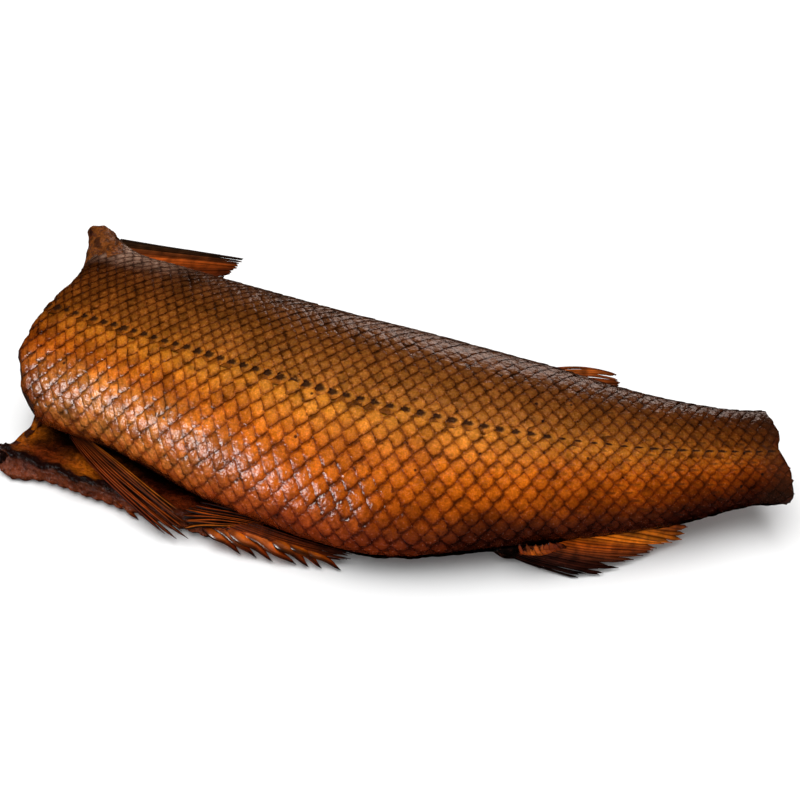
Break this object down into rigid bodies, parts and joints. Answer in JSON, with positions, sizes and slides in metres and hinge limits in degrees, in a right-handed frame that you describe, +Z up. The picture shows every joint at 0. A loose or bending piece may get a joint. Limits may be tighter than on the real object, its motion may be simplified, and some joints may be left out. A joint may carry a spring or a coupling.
{
  "type": "smoked fish",
  "caption": "Headed and gutted smoked fish without its tail fin, lying on its side: a tapering scaled body with an open belly slot, a loose lower flap and short dried fins.",
  "frame": {"origin": "under the middle of the part's box, on the plane that the fish lies on", "axes": "+X from the neck cut to the tail cut, +Y from the belly towards the back, +Z up out of the flank that shows"},
  "size_m": [0.2857, 0.1214, 0.0553],
  "materials": {
    "smoked_skin": "oily smoked fish skin with scales, golden amber on the flank, dark grey-brown on the back and dark mahogany at the belly edge, semi-gloss"
  },
  "bodies": {
    "root": {"smoked_fish": "smoked_skin"}
  },
  "joints": []
}
